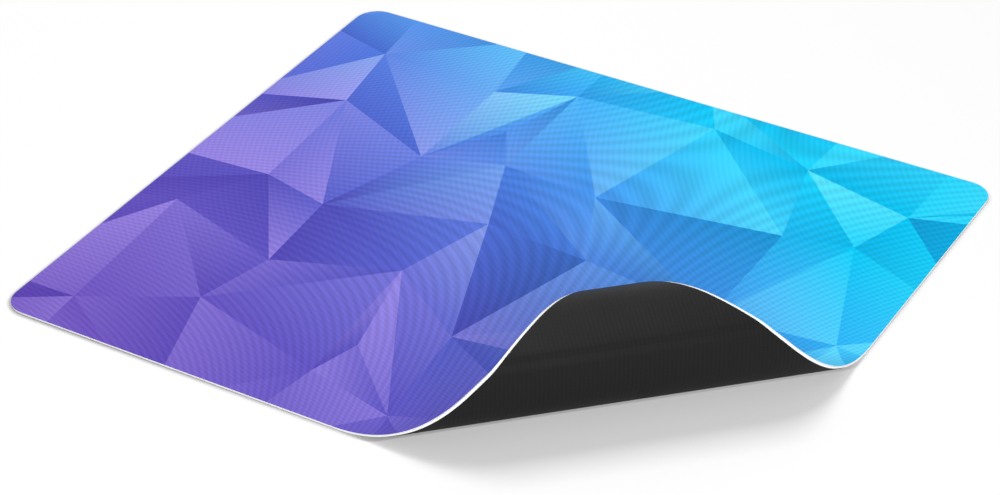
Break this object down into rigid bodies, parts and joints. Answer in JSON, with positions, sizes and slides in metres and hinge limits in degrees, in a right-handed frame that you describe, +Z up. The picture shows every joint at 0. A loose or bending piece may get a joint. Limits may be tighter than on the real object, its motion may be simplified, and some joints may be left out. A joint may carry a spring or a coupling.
{
  "type": "mouse pad",
  "caption": "Thin rectangular mouse pad with rounded corners, a printed cloth top on a foam and rubber sheet, and its near right corner curled up and over.",
  "frame": {"origin": "middle of the pad on the desk: the centre of the bounding box at the height of the rubber's underside", "axes": "+X along the long side, +Y along the short side, away from the edge that faces the viewer, +Z up from the desk; the curled corner is at +X, -Y"},
  "size_m": [0.25, 0.22, 0.0358],
  "materials": {
    "printed_cloth": "fine woven polyester with a dyed print, matt",
    "foam_core": "white foamed rubber, die cut, matt",
    "rubber_base": "dark natural rubber, fine moulded grip texture, matt"
  },
  "bodies": {
    "root": {"printed_cloth": "printed_cloth", "foam_core": "foam_core", "rubber_base": "rubber_base"}
  },
  "joints": []
}
